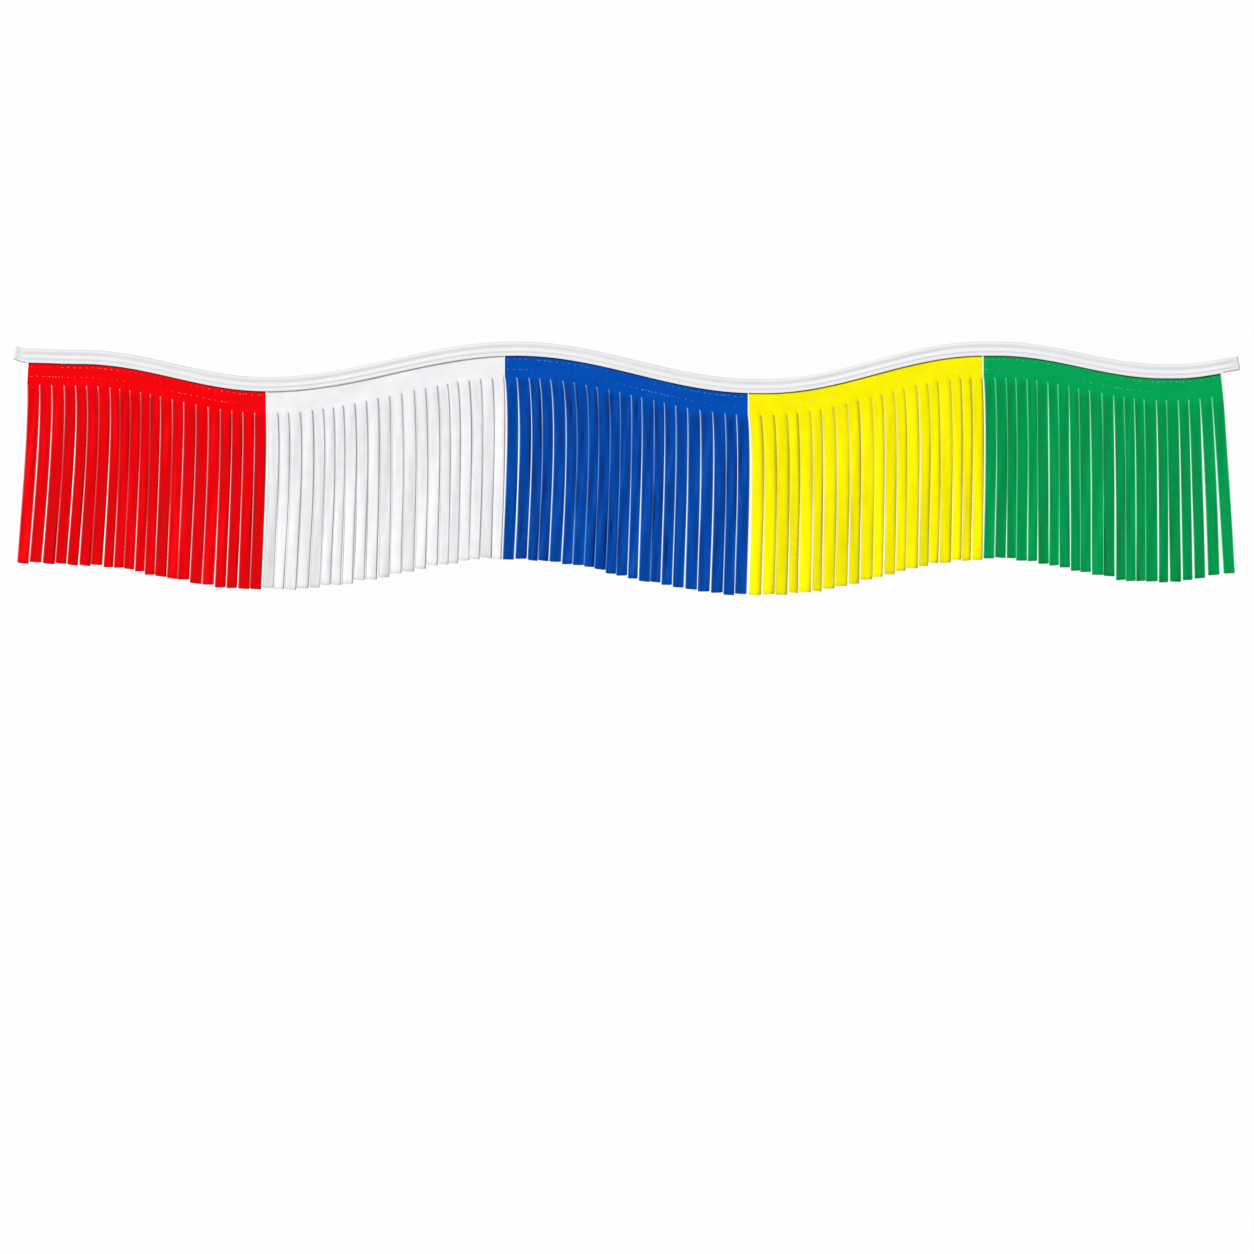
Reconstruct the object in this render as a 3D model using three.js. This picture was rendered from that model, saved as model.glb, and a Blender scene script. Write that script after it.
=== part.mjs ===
// A fringed pennant string: a folded white header tape hung in shallow waves, with five slit panels of
// coloured film sewn between its two leaves. Each panel is a plain band at its root and a row of hanging
// strips below.
//
// Units are millimetres. +X runs along the string to the viewer's right, -Y faces the viewer, +Z is up.
// The origin is the top edge of the tape at its middle crest, where the string is held.

import * as THREE from "three";

// The top edge of the hung tape, crest to dip: height z at each place x along the string.
const WAVE = [
  { x: -655, z: -1 },
  { x: -620, z: -9 },
  { x: -554, z: -10.5 },
  { x: -316, z: -45.2 },
  { x: 0, z: 0 },
  { x: 306, z: -47.6 },
  { x: 316, z: -47.6 },
  { x: 594, z: 0 },
  { x: 610, z: 0 },
  { x: 824, z: -28.8 },
  { x: 838, z: -28.8 },
  { x: 958, z: -15 },
];

// Header tape: a strip folded lengthwise over the film, its ends turned back behind as hems.
const TAPE_WIDTH = 18;
const SLOT_HALF = 0.8;
const HEM_HALF = 1.15;
const HEM_SLOT_HALF = 0.2;
const HEM_GAP = 0.4;
const HEM_SETBACK = 4.2;
const PRESS_START = 0.5;
const PRESS_END = 4;
const RUN_STEP = 25;
const FOLD_STEPS = 4;

// Outer half-thickness of the folded tape at each drop below its top edge: rolled fold, groove, crown,
// stitched waist and lower border.
const TAPE_FACE = [
  { drop: 0.6, half: 1.45 },
  { drop: 1.6, half: 2.1 },
  { drop: 3.2, half: 2.4 },
  { drop: 7.8, half: 1.7 },
  { drop: 12, half: 2.5 },
  { drop: 14.4, half: 1.9 },
  { drop: 16.6, half: 2.3 },
  { drop: TAPE_WIDTH, half: 2.1 },
];

// The inside of the fold, from the lips up to the hollow under the roll.
const TAPE_INSIDE = [
  { drop: TAPE_WIDTH, half: SLOT_HALF },
  { drop: 5.6, half: SLOT_HALF },
  { drop: 2.8, half: 1.3 },
];
const TAPE_FOLD_DROP = 1.2;

// The two ends of the tape: which way each points, where its hem folds over, and how far its lower
// corner runs out for each millimetre of drop.
const TAPE_ENDS = {
  left: { side: -1, fold: -636, splay: 0.16 },
  right: { side: 1, fold: 917, splay: 0.18 },
};

// Film panels, 12 in wide, with 1.2 mm between neighbours. seed sets how a panel's strips vary. lean is
// how far a strip's tip hangs sideways, bow is its sideways belly and reach is its length, each at the
// panel's left edge, middle and right edge. flare is the extra lean of the last strips on the right, pull
// is how far the free corners of the band are drawn out sideways at the left and right, and clings lists
// the slits that hang nearly shut, counted from the left.
const FILM_THICKNESS = 1;
const PANELS = [
  {
    name: "red_panel", colour: "#e4000f", left: -619.3, right: -317.7, strips: 21, seed: 1830,
    lean: [-12.6, -8.5, -6], bow: [2, 2.4, 1], reach: [227, 229, 224], flare: 0, pull: [-1.5, 0],
    clings: [6],
  },
  {
    name: "white_panel", colour: "#f1f1f3", left: -316.5, right: -15.5, strips: 21, seed: 3190,
    lean: [-5.8, -2.6, -2.4], bow: [3, 1.4, 3], reach: [223.5, 228, 229], flare: 0, pull: [0, 0],
    clings: [20],
  },
  {
    name: "blue_panel", colour: "#0050b4", left: -14.3, right: 294.5, strips: 21, seed: 1950,
    lean: [-2.8, -3, -1.8], bow: [3.4, 2.2, 3], reach: [230.5, 233, 229], flare: 0, pull: [0, 0],
    clings: [3, 13],
  },
  {
    name: "yellow_panel", colour: "#ffee00", left: 295.7, right: 592.5, strips: 20, seed: 4820,
    lean: [-0.8, 0.8, -1], bow: [4, 3.6, 2.2], reach: [229, 230.5, 231], flare: 0, pull: [0, 0],
    clings: [10],
  },
  {
    name: "green_panel", colour: "#00a354", left: 593.7, right: 895.1, strips: 22, seed: 4460,
    lean: [-1, 2, 3.6], bow: [2.2, 1.2, 2], reach: [230, 232.5, 228], flare: 12.5, pull: [0, 3],
    clings: [3, 6, 15],
  },
];
const FLARE_REACH = 26;

// Every panel's rows, as drops below the tape's top edge, and its strips' rows, as shares of their length.
const FILM_TOP = 8.3;
const BAND_FREE = 18.5;
const BAND_ROW = 31;
const SLIT_TOP = 45.3;
const STRIP_ROWS = [0.02, 0.17, 0.34, 0.5, 0.67, 0.84, 1];

// Slits gape a little more towards the tips. The rest is how unevenly the strips hang: share of the
// pitch, millimetres, degrees, and the power that puts a strip's belly above its middle.
const SLIT_AT_ROOT = 0.7;
const SLIT_AT_TIP = 1.6;
const WIDTH_SHARE = 0.13;
const LENGTH_SPREAD = 1.5;
const TIP_SKEW = 0.6;
const DRIFT = 0.55;
const CLING = 0.54;
const TWIST = THREE.MathUtils.degToRad(13);
const SWAY = 3;
const SWAY_PITCH = 190;
const OWN_SWAY = 1.4;
const BELLY_POWER = 0.65;
const BAND_RIPPLE = 0.5;
const BAND_RIPPLE_PITCH = 118;

/** Height of the tape's top edge at x: a half cosine from each crest or dip to the next. */
function topEdge(x) {
  const next = Math.max(1, WAVE.findIndex((row) => row.x >= x));
  const [from, to] = [WAVE[next - 1], WAVE[next]];
  const share = (x - from.x) / (to.x - from.x);
  return from.z + ((to.z - from.z) * (1 - Math.cos(Math.PI * share))) / 2;
}

/** A repeatable value from -1 to 1 for one strip, different for each panel and each use. */
function uneven(index, salt) {
  const raw = Math.sin(index * 12.9898 + salt * 78.233) * 43758.5453;
  return 2 * (raw - Math.floor(raw)) - 1;
}

/** Collects points given as x, y and drop below the tape's top edge, and the faces between them. */
class Skin {
  constructor() {
    this.points = [];
    this.faces = [];
  }

  point(x, y, drop) {
    this.points.push(x, y, topEdge(x) - drop);
    return this.points.length / 3 - 1;
  }

  quad(a, b, c, d) {
    this.faces.push(a, b, c, a, c, d);
  }

  geometry() {
    const made = new THREE.BufferGeometry();
    made.setAttribute("position", new THREE.Float32BufferAttribute(this.points, 3));
    made.setIndex(this.faces);
    made.computeVertexNormals();
    return made;
  }
}

/** The folded tape's closed outline as signed half-thickness and drop: front, lips, inside, back. */
function tapeOutline(pressed) {
  const blend = ({ half, drop }, hemHalf) => ({ half: THREE.MathUtils.lerp(half, hemHalf, pressed), drop });
  const face = TAPE_FACE.map((row) => blend(row, HEM_HALF));
  const inside = TAPE_INSIDE.map((row) => blend(row, HEM_SLOT_HALF));
  const front = (row) => new THREE.Vector2(-row.half, row.drop);
  const back = (row) => new THREE.Vector2(row.half, row.drop);
  return [
    new THREE.Vector2(0, 0),
    ...face.map(front),
    ...inside.map(front),
    new THREE.Vector2(0, TAPE_FOLD_DROP),
    ...inside.map(back).reverse(),
    ...face.map(back).reverse(),
  ];
}

/** Stations of one tape end from the panel's edge outwards: pressed flat, folded over, back behind. */
function hemStations({ side, fold }, edge) {
  const radius = HEM_HALF + HEM_GAP / 2;
  const centre = fold - side * (radius + HEM_HALF);
  const stations = [
    { x: edge + side * PRESS_START, y: 0, turn: 0, pressed: 0 },
    { x: edge + side * PRESS_END, y: 0, turn: 0, pressed: 1 },
  ];
  for (let i = 0; i <= FOLD_STEPS; i++) {
    const turn = (side * Math.PI * i) / FOLD_STEPS;
    stations.push({
      x: centre + radius * Math.sin(turn),
      y: radius * (1 - Math.cos(turn)),
      turn,
      pressed: 1,
    });
  }
  stations.push({ x: edge + side * HEM_SETBACK, y: 2 * radius, turn: side * Math.PI, pressed: 1 });
  return stations;
}

/** How far the tape's own end is splayed at x: none at the panels' edge, all of it at the fold. */
function splayAt(x, left, right) {
  const { left: a, right: b } = TAPE_ENDS;
  return (
    b.side * b.splay * THREE.MathUtils.smoothstep(x, right, b.fold) +
    a.side * a.splay * THREE.MathUtils.smoothstep(-x, -left, -a.fold)
  );
}

/** Closes one cut end of the tape: each leaf's outer points zipped to its inner ones by drop. */
function capTape(skin, ring, facesOut) {
  const outer = [0, ...TAPE_FACE.map((row) => row.drop)];
  const inner = [TAPE_FOLD_DROP, ...TAPE_INSIDE.map((row) => row.drop).reverse()];
  const size = ring.length;
  for (const back of [false, true]) {
    const place = (index) => ring[back ? (size - index) % size : index];
    const innerPlace = (index) => place(size / 2 - index);
    let [i, j] = [0, 0];
    while (i < outer.length - 1 || j < inner.length - 1) {
      const outerNext = outer[i + 1] ?? Infinity;
      const innerNext = inner[j + 1] ?? Infinity;
      const face =
        outerNext <= innerNext
          ? [place(i), place(++i), innerPlace(j)]
          : [place(i), innerPlace(j + 1), innerPlace(j++)];
      if (back === facesOut) face.reverse();
      skin.faces.push(...face);
    }
  }
}

/** Header tape: its folded outline carried along the string, with both ends folded back behind. */
function makeTape() {
  const left = PANELS[0].left;
  const right = PANELS[PANELS.length - 1].right;
  const steps = Math.round((right - left) / RUN_STEP);
  const run = [];
  for (let i = 1; i < steps; i++) {
    run.push({ x: THREE.MathUtils.lerp(left, right, i / steps), y: 0, turn: 0, pressed: 0 });
  }
  const stations = [
    ...hemStations(TAPE_ENDS.left, left).reverse(),
    ...run,
    ...hemStations(TAPE_ENDS.right, right),
  ];
  const skin = new Skin();
  const rings = stations.map(({ x, y, turn, pressed }) =>
    tapeOutline(pressed).map(({ x: half, y: drop }) => {
      const flatX = x - half * Math.sin(turn);
      return skin.point(flatX + drop * splayAt(flatX, left, right), y + half * Math.cos(turn), drop);
    }),
  );
  for (let i = 1; i < rings.length; i++) {
    const [near, far] = [rings[i - 1], rings[i]];
    near.forEach((point, k) => {
      const next = (k + 1) % near.length;
      skin.quad(point, near[next], far[next], far[k]);
    });
  }
  capTape(skin, rings[0], false);
  capTape(skin, rings.at(-1), true);
  return skin.geometry();
}

/** Root places of a panel's slits, from its left edge to its right, a little uneven. */
function slitPlaces({ left, right, strips, seed }) {
  const widths = Array.from({ length: strips }, (_, i) => 1 + WIDTH_SHARE * uneven(i, seed));
  const total = widths.reduce((sum, width) => sum + width, 0);
  const places = [left];
  for (const width of widths) places.push(places.at(-1) + ((right - left) * width) / total);
  return places;
}

/** A value given at a panel's left edge, middle and right edge, read at x. */
function across({ left, right }, [atLeft, atMiddle, atRight], x) {
  const share = (x - left) / (right - left);
  return share < 0.5
    ? THREE.MathUtils.lerp(atLeft, atMiddle, 2 * share)
    : THREE.MathUtils.lerp(atMiddle, atRight, 2 * share - 1);
}

/** How far a panel's slit line is drawn sideways at x, towards its free corners. */
function pulled({ left, right, pull }, x) {
  const [atLeft, atRight] = pull;
  return atLeft * Math.exp((left - x) / FLARE_REACH) + atRight * Math.exp((x - right) / FLARE_REACH);
}

/** One strip at share q of its length: centre, turn about the vertical, half-width, drop and skew. */
function stripAt(panel, places, strip, q) {
  const { seed, clings } = panel;
  const inset = THREE.MathUtils.lerp(SLIT_AT_ROOT, SLIT_AT_TIP, q) / 2;
  const [leftSlit, rightSlit] = [places[strip], places[strip + 1]].map((x) => x + pulled(panel, x));
  const leftEdge = leftSlit + (strip === 0 ? 0 : inset);
  const rightEdge = rightSlit - (strip === panel.strips - 1 ? 0 : inset);
  const root = (places[strip] + places[strip + 1]) / 2;
  let drift = DRIFT * uneven(strip, seed + 1);
  if (clings.includes(strip + 1)) drift = CLING;
  if (clings.includes(strip)) drift = -CLING;
  const lean = across(panel, panel.lean, root) + panel.flare * Math.exp((root - panel.right) / FLARE_REACH);
  const bow = across(panel, panel.bow, root);
  const sway = SWAY * Math.sin((2 * Math.PI * root) / SWAY_PITCH) + OWN_SWAY * uneven(strip, seed + 2) * q;
  const length = across(panel, panel.reach, root) + LENGTH_SPREAD * uneven(strip, seed + 5);
  const half = (rightEdge - leftEdge) / 2;
  const tilt = (lean + drift - Math.PI * BELLY_POWER * bow) / length;
  return {
    x: (leftEdge + rightEdge) / 2 + (lean + drift) * q + bow * Math.sin(Math.PI * q ** BELLY_POWER),
    y: sway * q,
    turn:
      TWIST * uneven(strip, seed + 3) * Math.sin((Math.PI * q) / 2) +
      (TWIST / 2) * uneven(strip, seed + 4) * Math.sin(2 * Math.PI * q),
    half,
    drop: SLIT_TOP + length * q,
    skew: (TIP_SKEW * uneven(strip, seed + 6) - half * tilt) * q,
    square: q,
  };
}

/**
 * Four corner points across one strip: left and right, front and back. A row follows the band's slope at
 * the root and lies square across the strip at its tip.
 */
function stripCorners(skin, { x, y, turn, half, drop, skew, square }) {
  const corner = (side, face) => {
    const across = x + side * half * Math.cos(turn) - ((face * FILM_THICKNESS) / 2) * Math.sin(turn);
    const deep = y + side * half * Math.sin(turn) + ((face * FILM_THICKNESS) / 2) * Math.cos(turn);
    return skin.point(across, deep, drop + side * skew + square * (topEdge(across) - topEdge(x)));
  };
  return { lf: corner(-1, -1), rf: corner(1, -1), lb: corner(-1, 1), rb: corner(1, 1) };
}

/** The walls between two rows of four corners: front, back, left edge and right edge. */
function joinRows(skin, upper, lower, { leftEdge = true, rightEdge = true } = {}) {
  skin.quad(upper.lf, lower.lf, lower.rf, upper.rf);
  skin.quad(upper.lb, upper.rb, lower.rb, lower.lb);
  if (leftEdge) skin.quad(upper.lf, upper.lb, lower.lb, lower.lf);
  if (rightEdge) skin.quad(upper.rf, lower.rf, lower.rb, upper.rb);
}

/** One film panel: a plain band from inside the tape to the slits' tops, then its row of strips. */
function makePanel(panel) {
  const skin = new Skin();
  const places = slitPlaces(panel);
  const bandRows = [FILM_TOP, BAND_FREE, BAND_ROW, SLIT_TOP].map((drop) => {
    const ripple = drop === BAND_ROW ? BAND_RIPPLE : 0;
    const share = Math.max(0, (drop - BAND_FREE) / (SLIT_TOP - BAND_FREE));
    return places.map((place) => {
      const x = place + share * pulled(panel, place);
      const y = ripple * Math.sin((2 * Math.PI * place) / BAND_RIPPLE_PITCH);
      return {
        front: skin.point(x, y - FILM_THICKNESS / 2, drop),
        back: skin.point(x, y + FILM_THICKNESS / 2, drop),
      };
    });
  });
  const cell = (row, i) => ({
    lf: row[i].front, lb: row[i].back, rf: row[i + 1].front, rb: row[i + 1].back,
  });
  for (let i = 0; i < panel.strips; i++) {
    const top = cell(bandRows[0], i);
    skin.quad(top.lf, top.rf, top.rb, top.lb);
    for (let r = 1; r < bandRows.length; r++) {
      joinRows(skin, cell(bandRows[r - 1], i), cell(bandRows[r], i), {
        leftEdge: i === 0,
        rightEdge: i === panel.strips - 1,
      });
    }
    let upper = cell(bandRows.at(-1), i);
    for (const q of STRIP_ROWS) {
      const lower = stripCorners(skin, stripAt(panel, places, i, q));
      joinRows(skin, upper, lower);
      upper = lower;
    }
    skin.quad(upper.lf, upper.lb, upper.rb, upper.rf);
  }
  return skin.geometry();
}

/** A mesh with its node's name and a plain finish. */
function namedMesh(name, geometry, colour, roughness) {
  const material = new THREE.MeshStandardMaterial({ color: colour, roughness, metalness: 0 });
  const mesh = new THREE.Mesh(geometry, material);
  mesh.name = name;
  return mesh;
}

const pennantString = new THREE.Group();
pennantString.add(namedMesh("tape", makeTape(), "#f4f4f5", 0.8));
for (const panel of PANELS) {
  pennantString.add(namedMesh(panel.name, makePanel(panel), panel.colour, 0.35));
}

export default pennantString;
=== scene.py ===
"""Looks of a fringed pennant string: five slit panels of coloured film in a folded white header tape.

The tables are in millimetres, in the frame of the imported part: x along the string, y away from the viewer,
and drop measured down from the tape's top edge, which hangs in shallow waves. MM turns them to metres.
"""

import math

import bpy
import numpy as np
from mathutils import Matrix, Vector


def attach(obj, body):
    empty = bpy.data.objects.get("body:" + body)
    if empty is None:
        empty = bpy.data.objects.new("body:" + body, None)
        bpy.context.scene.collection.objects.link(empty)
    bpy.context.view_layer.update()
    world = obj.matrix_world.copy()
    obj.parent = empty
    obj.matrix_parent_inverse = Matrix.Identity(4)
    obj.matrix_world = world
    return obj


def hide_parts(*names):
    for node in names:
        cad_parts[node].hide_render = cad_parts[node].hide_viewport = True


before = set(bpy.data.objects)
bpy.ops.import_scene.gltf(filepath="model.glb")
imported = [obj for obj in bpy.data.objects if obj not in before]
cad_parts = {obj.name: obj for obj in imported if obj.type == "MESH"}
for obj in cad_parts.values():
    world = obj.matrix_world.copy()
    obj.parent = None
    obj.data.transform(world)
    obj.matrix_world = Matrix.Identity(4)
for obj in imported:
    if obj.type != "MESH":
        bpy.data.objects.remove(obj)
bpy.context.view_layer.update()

bl_info = {
    "name": "Fringed Pennant String",
    "version": (1, 0, 0),
    "blender": (4, 5, 0),
    "location": "3D View > Sidebar > Pennant",
    "description": "Builds a fringed pennant string in its folded header tape",
    "category": "Add Mesh",
}

MM = 0.001
BODY = "root"

# The top edge of the hung tape, crest to dip: height z at each place x along the string.
WAVE = np.array([
    (-655, -1),
    (-620, -9),
    (-554, -10.5),
    (-316, -45.2),
    (0, 0),
    (306, -47.6),
    (316, -47.6),
    (594, 0),
    (610, 0),
    (824, -28.8),
    (838, -28.8),
    (958, -15),
])

# Film panels as they are cut and hung. A row of values runs at even steps from a panel's left edge to its
# right.
#   seed sets how the panel's strips vary.
#   pull is how far the free corners of the band are drawn out, at the left and at the right.
#   clings lists the slits that hang nearly shut, counted from the left.
#   lean is how far a strip's tip hangs sideways, and flare the extra lean of the last strips on the right.
#   bow is how far a strip bellies sideways, and stray how far each one strays from that.
#   reach is the length of a strip.
#   gape is how wide the slits stand open, at their roots and at their tips.
#   curl is the depth of a strip's curl, as a share of the film's.
#   lift is how far a strip's left edge stands forward, at its root and at its tip.
#   roll is how far its right edge rolls back, and from what share of its half-width.
#   crease is how deep its soft creases are.
#   tone darkens a single strip beside the band's doubled film: partly its single film, partly painted shade.
#   painted_tape_shadow is the light left in the painted shadow under the tape, and cut scales the colour
#   painted on the cut edges.
PANELS = [
    dict(
        colour="red", left=-619.3, right=-317.7, strips=21, seed=1830, pull=(-1.5, 0), flare=0, clings=(6,),
        lean=(-13, -9.8, -6.6, -7.8, -5.8), bow=(2.6, 4, 1.6, 1.8, 1.6), reach=(227, 229, 224),
        tone=0.91, gape=(0.5, 0.5), curl=0.4, lift=(1.9, 1.2), roll=(1.3, 0.42), crease=1, stray=0.3,
        painted_tape_shadow=0.15, cut=1,
    ),
    dict(
        colour="white", left=-316.5, right=-15.5, strips=21, seed=3190, pull=(0, 0), flare=0, clings=(20,),
        lean=(-6, -3.6, -0.4, 1.2, -2.8), bow=(3.6, 3.8, 2.4, 4, 3), reach=(223.5, 228, 229),
        tone=0.97, gape=(0.35, 0.5), curl=0.5, lift=(0, 0), roll=(1.8, 0.78), crease=0.7, stray=0.3,
        painted_tape_shadow=1, cut=0.56,
    ),
    dict(
        colour="blue", left=-14.3, right=294.5, strips=21, seed=1950, pull=(0, 0), flare=0, clings=(3, 13),
        lean=(-3, -0.6, -4.2, -3.4, -1), bow=(3.8, 5.4, 2.2, 2.2, 3.2), reach=(230.5, 233, 229),
        tone=0.77, gape=(0.2, 0.4), curl=0.25, lift=(0.9, 0.4), roll=(1, 0.6), crease=3.2, stray=0.35,
        painted_tape_shadow=0.15, cut=1,
    ),
    dict(
        colour="yellow", left=295.7, right=592.5, strips=20, seed=4820, pull=(0, 0), flare=0, clings=(10,),
        lean=(0.4, 1.2, 1.8, 1.6, 0.2), bow=(4.2, 2.8, 3.6, 3.6, 1.8), reach=(229, 230.5, 231),
        tone=1.0, gape=(-0.1, 0.75), curl=0.2, lift=(0, 0), roll=(2.4, 0.4), crease=0.6, stray=0.4,
        painted_tape_shadow=0.15, cut=1,
    ),
    dict(
        colour="green", left=593.7, right=895.1, strips=22, seed=4460, pull=(0, 3), flare=13.5,
        clings=(3, 6, 15), lean=(0, 1.8, 2.4, 2.6, 5), bow=(2.6, 0.8, 0.9, 0.9, 0.9), reach=(230, 232.5, 228),
        tone=0.81, gape=(-0.1, 0), curl=-0.2, lift=(0.9, 0.4), roll=(0.6, 0.6), crease=1.2, stray=0.6,
        painted_tape_shadow=0.15, cut=1,
    ),
]
FLARE_REACH = 26

# Drops of the film's own lines below the tape's top edge.
FILM_TOP = 8.3
BAND_FREE = 18.5
SLIT_TOP = 45.3

# Each quantity that varies from strip to strip has a salt of its own.
SALTS = {
    "drift": 1,
    "sway": 2,
    "turn": 3,
    "twist": 4,
    "length": 5,
    "skew": 6,
    "curl": 7,
    "lift": 8,
    "belly": 11,
    "roll": 12,
}

# How the slits open and how unevenly the strips hang.
SLIT_OPENS = 1.5
WIDTH_SHARE = 0.13
LENGTH_SPREAD = 1.5
TIP_SKEW = 0.6
DRIFT = 0.45
CLING = 0.3
TWIST = math.radians(13)
SWAY = 3
SWAY_PITCH = 190
OWN_SWAY = 1.4
BELLY_POWER = 0.65
BAND_RIPPLE = 0.5
BAND_RIPPLE_PITCH = 118

# A strip's cross-section starts in the band, as a pucker above each slit, and reaches its full depth a little
# below. Its creases come and go down the strip, each over its own pitch.
EDGE_POWER = 2.4
OWN_CURL = 0.35
OWN_ROLL = 0.4
OWN_LIFT = 0.5
PUCKER_CURL = 0.4
PUCKER_ROLL = 0.35
ROLL_REACH = 3
PUCKER_REACH = 5
CURL_REACH = 34
LIFT_START = 0.35
LIFT_REACH = 5
LIFT_FADES = (40, 200)
CREASE_REACH = 12
CREASES = (
    dict(middle=0.25, spread=0.35, width=0.5, pitch=170, share=1, salts=(9, 10)),
    dict(middle=-0.35, spread=0.3, width=0.32, pitch=120, share=0.6, salts=(13, 14)),
)
TIP_CURL = 1.8
TIP_CURL_REACH = 5
TIP_CORNER = 0.9
TIP_CORNER_POWER = 8
# Share of a strip's half-width from which the colour of its cut edges is painted.
PAINTED_EDGE_START = 0.84

# The film's grid: rows inside the tape, rows down the band, rows down a strip, closer together at both its
# ends by ROW_PULL, and columns across a strip, closer together at its edges.
INSIDE_ROWS = 3
BAND_ROWS = 16
STRIP_ROWS = 46
ROW_PULL = 0.85
STRIP_COLUMNS = np.array([-1, -0.93, -0.8, -0.55, -0.2, 0.2, 0.5, 0.7, 0.8, 0.88, 0.95, 1])

# The folded header tape: its outer face as half-thickness at each drop, from the roll at its fold down
# over groove, crown and stitched waist to the lower border.
TAPE_WIDTH = 18
TAPE_ROLL_DROP = 3.2
TAPE_ROLL_HALF = 2.4
TAPE_FACE = np.array([
    (TAPE_ROLL_DROP, TAPE_ROLL_HALF),
    (7.8, 1.4),
    (12, 2.5),
    (14.4, 1.75),
    (16.4, 2.3),
    (TAPE_WIDTH, 2.2),
])
TAPE_WANDER = (
    dict(depth=0.10, reach=17.0, phase=0),
    dict(depth=0.08, reach=7.3, phase=1.1),
)
WANDER_FULL = 8
WAIST_DROP = 14.2
HEM_HALF = 1.15
HEM_GAP = 0.4
HEM_SETBACK = 4.2
PRESS_START = 0.5
PRESS_END = 4
FRONT_PRESS_END = 22
TAB_EDGE_DROP = 16.7
TAB_EDGE_TURN = 0.7
TAB_LIP_SHORT = 0.9
TAPE_ENDS = (
    dict(side=-1, edge=-619.3, fold=-636, splay=0.16, bend=-1.6, bend_reach=8),
    dict(side=1, edge=895.1, fold=917, splay=0.18, bend=0.8, bend_reach=18),
)

# The tape's grid: the step along the string, points along a tab, round its fold and along the hem behind
# it, and rows round the roll and down a leaf.
TAPE_STEP = 1.9
TAB_POINTS = 10
TURN_POINTS = 11
HEM_POINTS = 6
ROLL_ROWS = 6
LEAF_ROWS = 19

# Sewn rows. A stitch is a blunt spindle of that length and width, standing proud of the cloth. It strays by
# the first of its strays along its row, and by the second across it. The row on the tape swings about the
# waist. The rows on the band end a little before the seam. A stitch there is of the middle size, give or
# take the swing and its own spread. The salts are those of its strays, and then of its size.
TAPE_STITCH = dict(length=2.8 * MM, width=0.6 * MM, proud=0.28 * MM)
TAPE_STITCH_STRAYS = (0.25, 0.1)
TAPE_STITCH_SALTS = (5, 6)
WAIST_SWING = 0.25
WAIST_SWING_REACH = 9.0
BAND_STITCH = dict(length=1.7 * MM, width=0.3 * MM, proud=0.14 * MM)
BAND_STITCH_DROPS = (22.7, 35.2)
BAND_STITCH_END = 2
BAND_STITCH_STRAYS = (0.5, 0.4)
BAND_STITCH_SALTS = (0, 20, 40)
BAND_STITCH_SIZE = dict(middle=0.65, swing=0.35, swing_reach=31, spread=0.25, least=0.15)
STITCH_RINGS = 5
STITCH_SIDES = 6
STITCH_BLUNT = 0.6

# Film: the white in its coloured shine, its draw lines and mottles as features per metre, the tones that
# the mottles run between, and the drops between which single film reaches its tone, partly painted shade,
# and the painted shadow under the tape its dark. The rest set the colour painted on the cut edges.
FILM_IOR = 1.51
SHINE_WHITE = 0.15
DRAW_LINES = (420, 9, 1)
MOTTLES = 60.0
MOTTLE_SPAN = (0.3, 0.7)
MOTTLE_TONES = (0.96, 1.03)
SINGLE_LAYER_FADE = (SLIT_TOP - 1, SLIT_TOP + 12)
TAPE_SHADOW_FADE = (TAPE_WIDTH + 0.4, TAPE_WIDTH + 1.6)
PAINTED_EDGE_TINT = 0.66
PAINTED_EDGE_POWER = 0.6
PAINTED_EDGE_WHITE = 0.14
NEAR_BLACK = 0.001

# Tape and thread: how far from its middle line the tape is painted greyer at its fold, as painted shade, and
# how grey, and the scales of wave textures that give threads of 1.2 mm in the tape and a ply of 0.8 mm in the
# sewing thread.
FOLD_SHADE_FADE = (0.6, 1.6)
FOLD_SHADE = 0.88
WEAVE_SCALE = 260.0
PLY_SCALE = 800.0

# The photograph's frame: its width at the object and the point that its centre shows.
FRAME_WIDTH = 1.5926
FRAME_CENTRE = Vector((0.141, 0, -0.3625))
CAMERA_DISTANCE = 6.0
SENSOR_WIDTH = 36.0

# Lights as azimuth, where 0 is the viewer's side and 90 the right, elevation and spread, all in degrees.
KEY_LIGHT = (-40, 30, 11)
FILL_LIGHT = (50, 10, 50)
BACK_LIGHT = (155, 8, 40)
BACK_SHARE = 0.45
FLOOR_SPAN = 2.0
FLOOR_HEIGHT = -1.75

FILM_HEX = {
    "red": "#f50009",
    "white": "#f1f0f3",
    "blue": "#004db3",
    "yellow": "#fcf100",
    "green": "#00a253",
}


def linear(hex_colour):
    """Linear red, green, blue and alpha of an sRGB hex colour."""
    values = [int(hex_colour[i:i + 2], 16) / 255 for i in (1, 3, 5)]
    return [v / 12.92 if v <= 0.04045 else ((v + 0.055) / 1.055) ** 2.4 for v in values] + [1.0]


def smooth(value, start, end):
    """Smooth step: 0 at start, 1 at end, and three t squared less two t cubed between."""
    t = np.clip((value - start) / (end - start), 0, 1)
    return t * t * (3 - 2 * t)


def uneven(index, salt):
    """A repeatable value from -1 to 1 for each index, different for each salt."""
    raw = np.sin(index * 12.9898 + salt * 78.233) * 43758.5453
    return 2 * (raw - np.floor(raw)) - 1


def varied(panel, strip, quantity):
    """How a quantity of SALTS varies from -1 to 1 over a panel's strips."""
    return uneven(strip, panel["seed"] + SALTS[quantity])


def past(s, start):
    """The square of how far s is on its way from start to 1, and 0 before start."""
    return np.clip((s - start) / (1 - start), 0, 1) ** 2


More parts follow.
